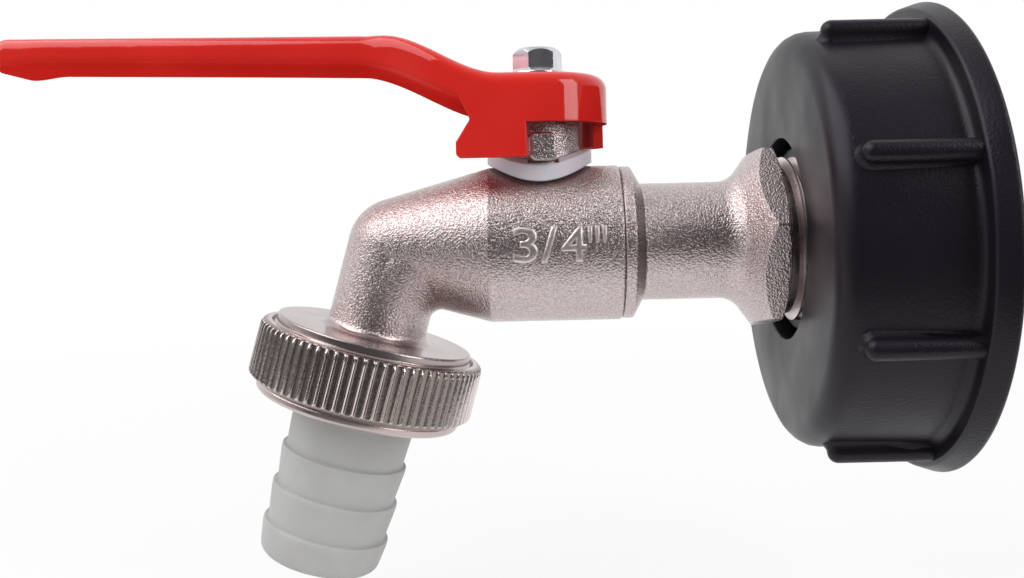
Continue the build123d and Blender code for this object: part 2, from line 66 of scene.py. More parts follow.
joints = {joint["name"]: joint for joint in frame["joints"]}

# Places taken from the frame
stem_x = joints["lever_turn"]["pos_m"][0] / MM
elbow_x = joints["nut_turn"]["pos_m"][0] / MM
spout_down = Vector(joints["nut_turn"]["axis"])
cap_depth = -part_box("screw_cap")[0][0] / MM
flange_back_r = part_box("screw_cap")[1][1] / MM
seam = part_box("valve_body")[1][0] / MM
connector_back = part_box("inlet_connector")[0][0] / MM
connector_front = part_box("inlet_connector")[1][0] / MM
thread_crest_r = mounts["tank_thread"]["dims"]["r_mm"]
thread_len = mounts["tank_thread"]["dims"]["length_mm"]
tail_bore_r = mounts["outlet_bore"]["dims"]["r_mm"]
tail_tip = (Vector(mounts["outlet_bore"]["pos_m"]) / MM - Vector((elbow_x, 0, 0))).dot(spout_down)
tail_start = tail_tip - mounts["outlet_bore"]["dims"]["length_mm"]
barb_crest_r = mounts["hose_barb"]["dims"]["r_mm"]

# Screw cap
thread_root_r = 30.3
tank_pitch = 6.0
cap_body_r = 33.5
cap_draft = 0.4
cap_floor = 4.8
cap_inner_edge = 0.5
cap_shoulder = 3.6
flange_front_r = flange_back_r - 1.2
flange_thick = 3.65
flange_edge = 0.7
flange_root = 1.4
rib_count = 8
rib_width = 3.2
rib_reach_r = cap_body_r + 2.5
rib_set_back = 3.3
rib_turn = radians(1.2)
rib_fillet_rise = 0.5
rib_fillet_bend = 0.35
rib_fillet_drop = 0.1
rib_fillet_reach = 1.1
rib_sink = 1.2
rib_overlap = 0.7
grain_margin = 0.5
boss_r = 18.6
boss_len = 12.5
boss_edge = 0.8
boss_wall_r = 14.67
boss_set_back = 2.0
boss_gap = 0.05
pocket_r = 16.3
pocket_depth = 8.5
pocket_edge = 0.3
web_count = 12
web_thick = 1.2
web_set_back = 2.6
web_overlap = 0.2
tank_turns = 1.1
tank_foot_r = thread_root_r + 0.3
tank_set_back = 0.2
tank_back_foot, tank_back_crest = 1.6, 0.6
tank_front_crest, tank_front_foot = 0.7, 2.2
tank_run_out = 0.1
tank_fade_turns = 1 / 8

# Inlet connector
pipe_crest_r = 13.22
pipe_root_r = 12.06
pipe_pitch = 1.814
pipe_crest_half = 0.16
pipe_foot_sink = 0.15
pipe_turn_gap = 0.02
pipe_start = 1.1
pipe_end = 0.6
pipe_bore_r = 7.0
pipe_mouth_slope = 0.2
pipe_mouth_edge = 0.3
pipe_bore_edge = 0.4
undercut_r = 11.9
undercut_len = 0.6
undercut_slope = 0.2
hex_front = -24.35
hex_thick = 3.2
hex_back = hex_front - hex_thick
hex_core_r = 12.2
hex_core_sink = 1.0
hex_flats = 27.0
hex_turn = radians(20)
hex_chamfer = 1.5
hex_chamfer_len = 0.55
hex_corner_trim = 0.1
hex_edge = 0.2
tube_r = 9.44
tube_flare = 4.0
tube_foot = 0.5
flare_start = 3.5
cone_foot = hex_back - 0.75
cone_foot_r = hex_flats / 2 - 0.3
cone_end = 0.95
shoulder_r = 12.3
shoulder_len = 1.8
shoulder_taper = 1.6
shoulder_front_edge = 0.35
shoulder_back_edge = 0.55
spigot_r = 10.54
seat_way_r = 5.4
seat_way_len = 2.5
bore_taper_end = 5.0
face_gap = 0.02
turned_front = hex_front - 0.5
turned_back = seam + 0.1

# Union nut, along the spout from the elbow's centre
nut_r = 18.3
nut_bore_r = 16.66
nut_pitch = 2.309
nut_edge_depth = 1.0
nut_edge_len = 1.4
nut_start = 15.6
nut_lip_start = 24.4
nut_band_end = 25.0
nut_end = 26.7
nut_lip_r = 16.6
lip_edge = 0.2
lip_rim_edge = 0.3
lip_groove_r = nut_lip_r - 0.25
lip_groove_back = 0.1
lip_groove_front = 0.55
lip_chamfer = 0.5
lip_chamfer_len = 0.45
lip_hole_r = 10.7
knurl_count = 76
knurl_depth = 0.55
knurl_crest = 0.16
knurl_slope_steps = 6
knurl_slope_start = 0.8
knurl_slope_in = 0.2
knurl_slope_along = 0.15
# Depth below the crests where the painted flute shade has given way to the lighter crest colour
knurl_wear_shade_from = 0.05
head_wall_fade = 0.2

# Hose tail
flange_r = 14.9
flange_len = 1.8
stub_r = 10.2
barb_root_r = 9.55
barb_pitch = 6.05
barb_count = 3
barb_zero = 34.6
barb_land = 0.8
barb_foot = 0.15
barb_front_edge = 0.22
barb_back_edge = 0.3
tip_outer_edge = 1.6
tip_inner_edge = 0.3

# Valve body
barrel_r = 12.5
head_foot_end = 13.7
head_foot_fade = 0.3
numeral_signs = [("3", 0, 3.8), ("/", 4.2, 2.7), ("4", 7.3, 3.9)]
numeral_height = 5.4
numeral_left = stem_x - 4.5
numeral_low = -2.35
numeral_rise = 0.45
mark_count = 3
mark_start = 11.4
mark_step = 1.1
mark_width = 0.72
mark_height = 2.6

# Floor, light and camera, in metres
floor_size = 3
floor_front = 0.1
floor_drop = 0.0064
shadow_share = 0.88
shadow_from = 0.08
shadow_to = 0.4
front_fade_from = 0.04
ambient_level = 0.45
dark_level = 0.12
dark_from = -0.7
dark_to = 0.45
lamp_distance = 0.6
softboxes = [("key_softbox", 202, 48, 0.66, 0.56, 2.6),
             ("right_softbox", 325, 24, 0.27, 0.46, 4.0)]
camera_place = Vector((seam * MM - 0.0149, -0.17271, 0.00681))
camera_roll = radians(-1.28)

# Steps and small distances of the meshes
corner_steps = 5
turn_steps = 144
cap_steps = 180
hexagon_steps = 240
steps_per_knurl = 12
tank_steps_per_turn = 120
pipe_steps_per_turn = 96
rib_nose_steps = 16
rib_round_steps = 6
nut_edge_steps = 8
piece_weld = 0.001
rib_weld = 0.01
cut_tolerance = 1e-5
longest_sign_edge = 0.08


# Mesh helpers

def turn_frame(origin, along, across):
    """Matrix that takes a shape turned about +Z, in millimetres, to an axis of the tap."""
    side = along.cross(across).normalized()
    spin = Matrix((across, side, along)).transposed().to_4x4()
    return Matrix.Translation(origin * MM) @ spin @ Matrix.Scale(MM, 4)


mouth = Vector((0, 0, 0))
main_line = Vector((1, 0, 0))
main_frame = turn_frame(mouth, main_line, Vector((0, 0, -1)))
elbow = Vector((elbow_x, 0, 0))
spout_frame = turn_frame(elbow, spout_down, Vector((-spout_down.z, 0, spout_down.x)))


def quarter_turn(steps):
    """Angles from 0 to a right angle."""
    return [pi / 2 * step / steps for step in range(steps + 1)]


def draw_profile(bm, corners):
    """Closed wire of (radius, height[, corner radius]) corners, with its corners rounded."""
    verts = [bm.verts.new((corner[0], 0, corner[1])) for corner in corners]
    for a, b in zip(verts, verts[1:] + verts[:1]):
        bm.edges.new((a, b))
    rounds = [(vert, corner[2]) for vert, corner in zip(verts, corners) if len(corner) > 2]
    for vert, radius in rounds:
        back, ahead = [(e.other_vert(vert).co - vert.co).normalized() for e in vert.link_edges]
        half = back.angle(ahead) / 2
        bmesh.ops.bevel(bm, geom=[vert], offset=radius * cos(half) / sin(half),
                        segments=corner_steps, profile=0.5, affect="VERTICES",
                        clamp_overlap=True, material=-1)


def turn_profile(bm, steps=turn_steps):
    """Spins every wire in the mesh round the Z axis."""
    bmesh.ops.spin(bm, geom=bm.verts[:] + bm.edges[:], cent=(0, 0, 0), axis=(0, 0, 1),
                   angle=2 * pi, steps=steps, use_merge=True)


def trim_round(bm, limit):
    """Pulls each vertex in to the radius that limit gives for its angle."""
    for vert in bm.verts:
        radius = hypot(vert.co.x, vert.co.y)
        allowed = limit(atan2(vert.co.y, vert.co.x))
        if radius > allowed:
            vert.co.x *= allowed / radius
            vert.co.y *= allowed / radius


def finish_piece(name, bm, place, body, materials, stands_for=(), sharp=32):
    """Puts a mesh in its place and makes it a piece that moves with a body."""
    bmesh.ops.transform(bm, matrix=place, verts=bm.verts)
    bmesh.ops.remove_doubles(bm, verts=bm.verts, dist=piece_weld * MM)
    bmesh.ops.recalc_face_normals(bm, faces=bm.faces)
    mesh = bpy.data.meshes.new(name)
    bm.to_mesh(mesh)
    bm.free()
    for material in materials:
        mesh.materials.append(material)
    mesh.shade_smooth()
    mesh.set_sharp_from_angle(angle=radians(sharp))
    piece = bpy.data.objects.new(name, mesh)
    bpy.context.scene.collection.objects.link(piece)
    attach(piece, body)
    if stands_for:
        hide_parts(*stands_for)
    return piece


def helix(bm, section, pitch, turns, steps_per_turn):
    """Winds a closed section of (radius, height) points along +Z."""
    verts = [bm.verts.new((r, 0, h)) for r, h in section]
    edges = [bm.edges.new((a, b)) for a, b in zip(verts, verts[1:] + verts[:1])]
    cap = bm.faces.new(verts)
    steps = int(turns * steps_per_turn)
    bmesh.ops.spin(bm, geom=[cap] + edges + verts, cent=(0, 0, 0), axis=(0, 0, 1),
                   dvec=(0, 0, pitch * turns / steps), angle=2 * pi * turns, steps=steps)


# Material helpers

def new_finish(name, **sockets):
    """New material and its principled shader, with plain values set by socket name."""
    material = bpy.data.materials.new(name)
    material.use_nodes = True
    shader = material.node_tree.nodes["Principled BSDF"]
    for key, value in sockets.items():
        shader.inputs[key.replace("_", " ")].default_value = value
    return material, shader


def add(material, kind, **values):
    """A node of the given kind, with its sockets set by name."""
    made = material.node_tree.nodes.new(kind)
    for key, value in values.items():
        made.inputs[key.replace("_", " ")].default_value = value
    return made


def join(material, source, target):
    """Links one socket to another."""
    material.node_tree.links.new(source, target)


def object_place(material):
    """Object coordinates, which are the tap's own metres."""
    return add(material, "ShaderNodeTexCoord").outputs["Object"]


def grain(material, size_mm, detail=2.0, roughness=0.5):
    """Noise whose grains are about size_mm across."""
    noise = add(material, "ShaderNodeTexNoise", Scale=1 / (size_mm * MM), Detail=detail,
                Roughness=roughness)
    join(material, object_place(material), noise.inputs["Vector"])
    return noise.outputs["Fac"]


def spread(material, value, low, high, start=0.3, end=0.7):
    """Maps start..end of a value onto low..high."""
    ramp = add(material, "ShaderNodeMapRange", From_Min=start, From_Max=end,
               To_Min=low, To_Max=high)
    join(material, value, ramp.inputs["Value"])
    return ramp.outputs["Result"]


def blend_colors(material, share, first, second):
    """Mixes two colours, given or made by nodes, by a share from 0 to 1."""
    mix = material.node_tree.nodes.new("ShaderNodeMix")
    mix.data_type = "RGBA"
    for socket, color in (("A", first), ("B", second)):
        if isinstance(color, tuple):
            mix.inputs[socket].default_value = (*color, 1)
        else:
            join(material, color, mix.inputs[socket])
    join(material, share, mix.inputs["Factor"])
    return mix.outputs["Result"]


def raise_surface(material, shader, height, depth_mm, strength=1.0, below=None):
    """Bump of depth_mm, on top of another bump if one is given."""
    bump = add(material, "ShaderNodeBump", Distance=depth_mm * MM)
    if isinstance(strength, float):
        bump.inputs["Strength"].default_value = strength
    else:
        join(material, strength, bump.inputs["Strength"])
    join(material, height, bump.inputs["Height"])
    if below:
        join(material, below, bump.inputs["Normal"])
    join(material, bump.outputs["Normal"], shader.inputs["Normal"])
    return bump.outputs["Normal"]


def vector_step(material, operation, first, second=(0, 0, 0)):
    """One step of vector arithmetic between a socket and a constant."""
    step = material.node_tree.nodes.new("ShaderNodeVectorMath")
    step.operation = operation
    join(material, first, step.inputs[0])
    step.inputs[1].default_value = second
    return step.outputs


def tree_step(tree, operation, first, second):
    """One step of arithmetic between two sockets or numbers."""
    step = tree.nodes.new("ShaderNodeMath")
    step.operation = operation
    for socket, value in zip(step.inputs, (first, second)):
        if isinstance(value, (int, float)):
            socket.default_value = value
        else:
            tree.links.new(value, socket)
    return step.outputs[0]


def run_along(material, origin, along):
    """Millimetres along an axis of the tap."""
    offset = vector_step(material, "SUBTRACT", object_place(material), origin * MM)["Vector"]
    return vector_step(material, "DOT_PRODUCT", offset, along / MM)["Value"]


def off_axis(material, origin, along):
    """Millimetres from an axis of the tap."""
    offset = vector_step(material, "SUBTRACT", object_place(material), origin * MM)["Vector"]
    across = vector_step(material, "CROSS_PRODUCT", offset, along / MM)["Vector"]
    return vector_step(material, "LENGTH", across)["Value"]


def tool_marks(material, distance, pitch_mm):
    """Fine rings left by a turning tool, from a distance in millimetres."""
    noise = material.node_tree.nodes.new("ShaderNodeTexNoise")
    noise.noise_dimensions = "1D"
    noise.inputs["Scale"].default_value = 1 / pitch_mm
    noise.inputs["Detail"].default_value = 1.0
    join(material, distance, noise.inputs["W"])
    return noise.outputs["Fac"]


def ease_edges(material, radius_mm):
    """Normal that rounds sharp edges by a small radius."""
    eased = material.node_tree.nodes.new("ShaderNodeBevel")
    eased.samples = 4
    eased.inputs["Radius"].default_value = radius_mm * MM
    return eased.outputs["Normal"]


# Finishes

def cast_nickel():
    """Shot-blasted casting under nickel plate, turned and threaded at the spout's head."""
    material, shader = new_finish("cast_nickel", Metallic=1.0)
    fine = grain(material, 0.3, 2.0, 0.6)
    coarse = grain(material, 0.6, 1.0)
    broad = grain(material, 9.0)
    pit, peak, smooth = (0.47, 0.395, 0.39), (0.68, 0.585, 0.58), (0.44, 0.375, 0.37)
    blasted = blend_colors(material, spread(material, fine, 0, 1, 0.35, 0.65), pit, peak)
    headway = run_along(material, elbow, spout_down)
    turned = spread(material, headway, 0, 1, head_foot_end - head_foot_fade, head_foot_end)
    join(material, blend_colors(material, turned, blasted, smooth), shader.inputs["Base Color"])
    join(material, spread(material, broad, 0.18, 0.26), shader.inputs["Roughness"])
    blast = spread(material, turned, 1.0, 0.06, 0, 1)
    below = raise_surface(material, shader, coarse, 0.05, blast, ease_edges(material, 0.2))
    below = raise_surface(material, shader, fine, 0.15, blast, below)
    wall = spread(material, off_axis(material, elbow, spout_down), 0, 1,
                  nut_bore_r - 2 * head_wall_fade, nut_bore_r - head_wall_fade)
    threaded = tree_step(material.node_tree, "MULTIPLY", turned, wall)
    around = vector_step(material, "MULTIPLY", headway, (2 * pi / nut_pitch,) * 3)["Vector"]
    turns = vector_step(material, "SINE", around)["Vector"]
    raise_surface(material, shader, turns, 0.45, threaded, below)
    return material


def worn_and_lit_nickel():
    """Plate rubbed smooth on what stands proud of the casting; its colour is also lighter than the plate's, a
    painted light on the shaded pipe thread and numerals.
    """
    material, shader = new_finish("worn_and_lit_nickel", Metallic=1.0, Base_Color=(0.78, 0.69, 0.68, 1))
    broad = grain(material, 1.2)
    join(material, spread(material, broad, 0.34, 0.46), shader.inputs["Roughness"])
    raise_surface(material, shader, grain(material, 0.34, 2.0), 0.1, 0.8)
    return material


def turned_nickel(name, origin, along):
    """Machined and plated faces with the rings of the turning tool."""
    material, shader = new_finish(name, Metallic=1.0, Base_Color=(0.57, 0.485, 0.475, 1))
    broad = grain(material, 3.0)
    join(material, spread(material, broad, 0.2, 0.32), shader.inputs["Roughness"])
    rings = tool_marks(material, off_axis(material, origin, along), 0.16)
    below = raise_surface(material, shader, rings, 0.006, 0.6)
    raise_surface(material, shader, grain(material, 0.25, 1.0), 0.006, 0.5, below)
    return material


def knurl_nickel():
    """Plated knurl: crests lighter from wear of the plate, flutes painted dark as shade."""
    material, shader = new_finish("knurl_nickel", Metallic=1.0)
    shaded_flute, crest = (0.3, 0.25, 0.235), (0.86, 0.78, 0.76)
    # Share from flute to crest colour: the dark of the flutes is painted shade, the light of the crests is wear of
    # the plate.
    wear_and_shade_share = spread(material, off_axis(material, elbow, spout_down), 0, 1,
                        nut_r - knurl_depth, nut_r - knurl_wear_shade_from)
    join(material, blend_colors(material, wear_and_shade_share, shaded_flute, crest), shader.inputs["Base Color"])
    fine = grain(material, 0.45, 2.0)
    join(material, spread(material, fine, 0.16, 0.34), shader.inputs["Roughness"])
    raise_surface(material, shader, fine, 0.03, 0.6)
    return material


def red_paint():
    """Glossy red enamel with a faint orange peel; its gloss is taken off faces that look down, as painted shade
    under the lever.
    """
    material, shader = new_finish("red_paint", Metallic=0.0, Roughness=0.5,
                                  Specular_IOR_Level=0.0, Coat_Roughness=0.06)
    normal = add(material, "ShaderNodeNewGeometry").outputs["Normal"]
    upward = vector_step(material, "DOT_PRODUCT", normal, (0, 0, 1))["Value"]
    # Coat weight falls to nothing on faces that look down: painted shade that keeps the floor's reflection off the
    # lever's underside.
    join(material, spread(material, upward, 0, 1, -0.55, -0.1), shader.inputs["Coat Weight"])
    deep, light = (0.62, 0.017, 0.012), (0.68, 0.022, 0.016)
    cloud = spread(material, grain(material, 14.0), 0, 1)
    join(material, blend_colors(material, cloud, deep, light), shader.inputs["Base Color"])
    eased = ease_edges(material, 0.35)
    peel = grain(material, 1.8, 1.0)
    raised = raise_surface(material, shader, peel, 0.016, 0.5, eased)
    join(material, raised, shader.inputs["Coat Normal"])
    return material


def black_plastic(name, grain_mm, depth_mm, dullness):
    """Black moulded polyolefin with the grain of its mould."""
    material, shader = new_finish(name, Metallic=0.0, Base_Color=(0.0075, 0.0062, 0.009, 1),
                                  Specular_IOR_Level=0.29, Specular_Tint=(0.96, 0.88, 1.0, 1))
    fine = grain(material, grain_mm, 3.0, 0.6)
    broad = grain(material, 11.0)
    patchy = spread(material, broad, dullness - 0.05, dullness + 0.07)
    join(material, patchy, shader.inputs["Roughness"])
    raise_surface(material, shader, fine, depth_mm, 0.7)
    return material


def grey_plastic():
    """Pale grey moulded plastic, matte."""
    material, shader = new_finish("grey_plastic", Metallic=0.0, Roughness=0.55,
                                  Subsurface_Weight=0.12, Subsurface_Scale=0.6 * MM)
    dark, light = (0.43, 0.43, 0.425), (0.47, 0.47, 0.465)
    cloud = spread(material, grain(material, 5.0), 0, 1)
    join(material, blend_colors(material, cloud, dark, light), shader.inputs["Base Color"])
    raise_surface(material, shader, grain(material, 0.5, 2.0), 0.01, 0.4)
    return material


def milky_plastic():
    """Milky washer and seat plastic."""
    material, shader = new_finish("milky_plastic", Metallic=0.0, Base_Color=(0.67, 0.63, 0.685, 1),
                                  Subsurface_Weight=0.5, Subsurface_Scale=1.0 * MM)
    broad = grain(material, 3.0)
    join(material, spread(material, broad, 0.3, 0.42), shader.inputs["Roughness"])
    raise_surface(material, shader, broad, 0.02, 0.4, ease_edges(material, 0.35))
    return material


def zinc_plate():
    """Bright zinc plate of the screw."""
    material, shader = new_finish("zinc_plate", Metallic=1.0)
    dark, light = (0.6, 0.58, 0.66), (0.74, 0.72, 0.76)
    broad = grain(material, 1.5)
    cloud = spread(material, broad, 0, 1)
    join(material, blend_colors(material, cloud, dark, light), shader.inputs["Base Color"])
    join(material, spread(material, broad, 0.07, 0.14), shader.inputs["Roughness"])
    raise_surface(material, shader, broad, 0.01, 0.4, ease_edges(material, 0.15))
    return material


def black_rubber():
    """Dull gasket rubber."""
    material, shader = new_finish("black_rubber", Metallic=0.0, Base_Color=(0.018, 0.018, 0.018, 1))
    fine = grain(material, 0.6, 3.0)
    join(material, spread(material, fine, 0.62, 0.8), shader.inputs["Roughness"])
    raise_surface(material, shader, fine, 0.02, 0.6)
    return material


def bare_brass():
    """Turned brass of the stem."""
    material, shader = new_finish("bare_brass", Metallic=1.0, Base_Color=(0.75, 0.56, 0.26, 1))
    fine = grain(material, 0.3, 2.0)
    join(material, spread(material, fine, 0.24, 0.38), shader.inputs["Roughness"])
    return material


def polished_plate():
    """Polished plate of the ball."""
    material, shader = new_finish("polished_plate", Metallic=1.0, Base_Color=(0.78, 0.78, 0.8, 1))
    broad = grain(material, 2.0)
    join(material, spread(material, broad, 0.06, 0.12), shader.inputs["Roughness"])
    return material


cast = cast_nickel()
worn_and_lit = worn_and_lit_nickel()
turned_spout = turned_nickel("turned_nickel_spout", elbow, spout_down)
turned_main = turned_nickel("turned_nickel_main", mouth, main_line)
knurled = knurl_nickel()
red = red_paint()
black_smooth = black_plastic("black_plastic_smooth", 0.4, 0.008, 0.36)
black_grained = black_plastic("black_plastic_grained", 0.45, 0.11, 0.34)
grey = grey_plastic()
milky = milky_plastic()
zinc = zinc_plate()
rubber = black_rubber()
brass = bare_brass()
polished = polished_plate()


def give_finish(piece, index, wanted):
    """Sets one of the piece's own finishes on the faces that a test picks."""
    for face in piece.data.polygons:
        if wanted(face.center / MM, face.normal):
            face.material_index = index


# Screw cap

def cap_shell():
    """Turned shell of the cap with its boss and pocket."""
    bm = bmesh.new()
    front = -cap_depth
    floor = front + cap_floor
    boss_bore_r = pipe_crest_r + boss_gap
    draw_profile(bm, [
        (thread_root_r, 0, cap_inner_edge), (flange_back_r, 0, flange_edge),
        (flange_front_r, -flange_thick, flange_edge), (cap_body_r, -flange_thick, flange_root),
        (cap_body_r - cap_draft, front, cap_shoulder), (pocket_r, front, pocket_edge),
        (pocket_r, front + pocket_depth), (boss_wall_r, front + pocket_depth),
        (boss_wall_r, front + boss_set_back, pocket_edge), (boss_bore_r, front + boss_set_back),
        (boss_bore_r, front + boss_len), (boss_r, front + boss_len, boss_edge),
        (boss_r, floor, cap_inner_edge), (thread_root_r, floor, cap_inner_edge)])
    turn_profile(bm, cap_steps)
    piece = finish_piece("cap_shell", bm, main_frame, "tap", [black_smooth, black_grained],
                         ["screw_cap"])
    grained_r = cap_body_r - grain_margin
    give_finish(piece, 1, lambda centre, normal: (
        hypot(centre.y, centre.z) > grained_r and abs(normal.x) < 0.5))


def cap_rib(bm, angle):
    """Grip bar: a rounded section swept round its nose and run into the flange."""
    half = rib_width / 2
    start = -cap_depth + rib_set_back + half
    section = [(half * sin(turn), rib_reach_r - half + half * cos(turn))
               for turn in quarter_turn(rib_round_steps)]
    section += [(half, cap_body_r + rib_fillet_rise),
                (half + rib_fillet_bend, cap_body_r - rib_fillet_drop),
                (half + rib_fillet_reach, cap_body_r - rib_sink)]
    verts = [bm.verts.new((start, side, height)) for side, height in section]
    wires = [bm.edges.new((a, b)) for a, b in zip(verts, verts[1:])]
    bmesh.ops.spin(bm, geom=verts + wires, cent=(start, 0, 0), axis=(0, 0, 1), angle=pi,
                   steps=rib_nose_steps)
    rim = [edge for edge in bm.edges if edge.is_boundary
           and all(abs(vert.co.x - start) < cut_tolerance for vert in edge.verts)]
    run = bmesh.ops.extrude_edge_only(bm, edges=rim)
    moved = [item for item in run["geom"] if isinstance(item, bmesh.types.BMVert)]
    bmesh.ops.translate(bm, verts=moved, vec=(rib_overlap - flange_thick - start, 0, 0))
    bmesh.ops.rotate(bm, verts=bm.verts, cent=(0, 0, 0), matrix=Matrix.Rotation(angle, 3, "X"))


def cap_ribs():
    """All grip bars of the cap."""
    whole = bmesh.new()
    for index in range(rib_count):
        bm = bmesh.new()
        cap_rib(bm, 2 * pi * (index + 0.5) / rib_count + rib_turn)
        bmesh.ops.remove_doubles(bm, verts=bm.verts, dist=rib_weld)
        bmesh.ops.holes_fill(bm, edges=bm.edges)
        step = bpy.data.meshes.new("rib")
        bm.to_mesh(step)
        bm.free()
        whole.from_mesh(step)
        bpy.data.meshes.remove(step)
    finish_piece("cap_ribs", whole, Matrix.Scale(MM, 4), "tap", [black_grained],
                 ["screw_cap"])


def cap_webs():
    """Thin radial webs across the pocket."""
    bm = bmesh.new()
    depth = pocket_depth - web_set_back
    width = pocket_r - boss_wall_r + 2 * web_overlap
    middle = ((pocket_r + boss_wall_r) / 2, 0, -cap_depth + web_set_back + depth / 2 + web_overlap)
    for index in range(web_count):
        web = bmesh.ops.create_cube(bm, size=1)["verts"]
        bmesh.ops.scale(bm, vec=(width, web_thick, depth), verts=web)
        bmesh.ops.translate(bm, vec=middle, verts=web)
        bmesh.ops.rotate(bm, verts=web, cent=(0, 0, 0),
                         matrix=Matrix.Rotation(2 * pi * index / web_count, 3, "Z"))
    finish_piece("cap_webs", bm, main_frame, "tap", [black_smooth], ["screw_cap"])


def tank_thread():
    """Coarse thread inside the cap, fading in and out at its ends."""
    bm = bmesh.new()
    low = -thread_len - tank_set_back
    helix(bm, [(tank_foot_r, low - tank_back_foot), (thread_crest_r, low - tank_back_crest),
               (thread_crest_r, low + tank_front_crest), (tank_foot_r, low + tank_front_foot)],
          tank_pitch, tank_turns, tank_steps_per_turn)
    for vert in bm.verts:
        turn = (vert.co.z - low) / tank_pitch
        to_end = min(turn, tank_turns - turn) + tank_run_out
        fade = min(1, max(0, to_end) / tank_fade_turns)
        radius = hypot(vert.co.x, vert.co.y)
        wanted = tank_foot_r - (tank_foot_r - radius) * fade
        vert.co.x *= wanted / radius
        vert.co.y *= wanted / radius
    finish_piece("tank_thread", bm, main_frame, "tap", [black_smooth], ["screw_cap"])


# Inlet connector

def connector_body():
    """Spigot, shoulder, tube and thread core in one turned piece."""
    bm = bmesh.new()
    undercut_end = hex_front + undercut_len
    draw_profile(bm, [
        (seat_way_r, connector_back), (spigot_r, connector_back), (spigot_r, seam + face_gap),
        (shoulder_r, seam + face_gap, shoulder_front_edge),
        (shoulder_r, seam + shoulder_len, shoulder_back_edge),
        (tube_r, seam + shoulder_len + shoulder_taper, tube_foot),
        (tube_r, hex_back - flare_start, tube_flare), (cone_foot_r, cone_foot),
        (hex_core_r, hex_back + hex_core_sink), (hex_core_r, hex_front), (undercut_r, hex_front),
        (undercut_r, undercut_end), (pipe_root_r, undercut_end + undercut_slope),
        (pipe_root_r, connector_front - pipe_mouth_slope, pipe_mouth_edge),
        (pipe_bore_r, connector_front, pipe_bore_edge),
        (pipe_bore_r, connector_back + bore_taper_end),
        (seat_way_r, connector_back + seat_way_len)])
    turn_profile(bm)
    piece = finish_piece("connector_body", bm, main_frame, "tap", [cast, turned_main],
                         ["inlet_connector"])
    give_finish(piece, 1, lambda centre, normal: (
        centre.x > turned_front or centre.x < turned_back))


def connector_hexagon():
    """Hexagon cut from a turned blank, whose conical back runs on from the flare."""
    bm = bmesh.new()
    corner_r = hex_flats / sqrt(3) - hex_corner_trim
    draw_profile(bm, [
        (undercut_r, hex_front), (corner_r - hex_chamfer, hex_front, hex_edge),
        (corner_r, hex_front - hex_chamfer_len, hex_edge),
        (corner_r, hex_back + cone_end, hex_edge), (cone_foot_r, cone_foot),
        (undercut_r, cone_foot)])
    turn_profile(bm, hexagon_steps)
    for side in range(6):
        out = Matrix.Rotation(side * pi / 3, 3, "Z") @ Vector((1, 0, 0))
        bmesh.ops.bisect_plane(bm, geom=bm.verts[:] + bm.edges[:] + bm.faces[:],
                               dist=cut_tolerance, plane_co=out * hex_flats / 2, plane_no=out,
                               clear_outer=True)
        bmesh.ops.holes_fill(bm, edges=[edge for edge in bm.edges if edge.is_boundary])
    bmesh.ops.rotate(bm, verts=bm.verts, cent=(0, 0, 0),
                     matrix=Matrix.Rotation(hex_turn + pi / 6, 3, "Z"))
    finish_piece("connector_hexagon", bm, main_frame, "tap", [cast],
                 ["inlet_connector"], 20)


def pipe_thread():
    """Pipe thread of the connector, from the undercut to its end."""
    bm = bmesh.new()
    start = hex_front + pipe_start
    turns = (connector_front - pipe_end - start) / pipe_pitch
    foot_half = pipe_pitch / 2 - pipe_turn_gap
    foot_r = pipe_root_r - pipe_foot_sink
    helix(bm, [(foot_r, start - foot_half), (pipe_crest_r, start - pipe_crest_half),
               (pipe_crest_r, start + pipe_crest_half), (foot_r, start + foot_half)],
          pipe_pitch, turns, pipe_steps_per_turn)
    # The thread takes the lighter nickel, which paints light on it where it sits in shade between the hexagon and
    # the cap.
    finish_piece("pipe_thread", bm, main_frame, "tap", [worn_and_lit], ["inlet_connector"])


# Union nut

def knurl_limit(angle):
    """Radius of the knurl: narrow crests between round-bottomed flutes."""
    place = (angle * knurl_count / (2 * pi)) % 1
    off_middle = min(1, abs(2 * place - 1) / (1 - knurl_crest))
    return nut_r - knurl_depth * sqrt(1 - off_middle ** 4)


def nut_piece():
    """Knurled nut whose flutes run out in arches through its rounded edge."""
    bm = bmesh.new()
    edge = [(nut_r - nut_edge_depth * (1 - sin(turn)), nut_start + nut_edge_len * (1 - cos(turn)))
            for turn in quarter_turn(nut_edge_steps)]
    slope_start = nut_band_end - knurl_slope_start
    slope = [(nut_r - knurl_slope_in * step, slope_start + knurl_slope_along * step)
             for step in range(knurl_slope_steps)]
    draw_profile(bm, [(nut_bore_r, nut_start)] + edge + slope + [
        (lip_groove_r, nut_band_end + lip_groove_back),
        (nut_lip_r, nut_band_end + lip_groove_front, lip_edge),
        (nut_lip_r, nut_end - lip_chamfer_len, lip_rim_edge),
        (nut_lip_r - lip_chamfer, nut_end, lip_edge), (lip_hole_r, nut_end, lip_edge),
        (lip_hole_r, nut_lip_start), (nut_bore_r, nut_lip_start)])
    turn_profile(bm, knurl_count * steps_per_knurl)
    trim_round(bm, knurl_limit)
    piece = finish_piece("knurled_nut", bm, spout_frame, "union_nut", [knurled, turned_spout],
                         ["union_nut"])

    def is_turned(centre, normal):
        headway = (centre - elbow).dot(spout_down)
        radius = (centre - elbow - spout_down * headway).length
        return headway > nut_band_end or radius < nut_r - nut_edge_depth

    give_finish(piece, 1, is_turned)


# Hose tail

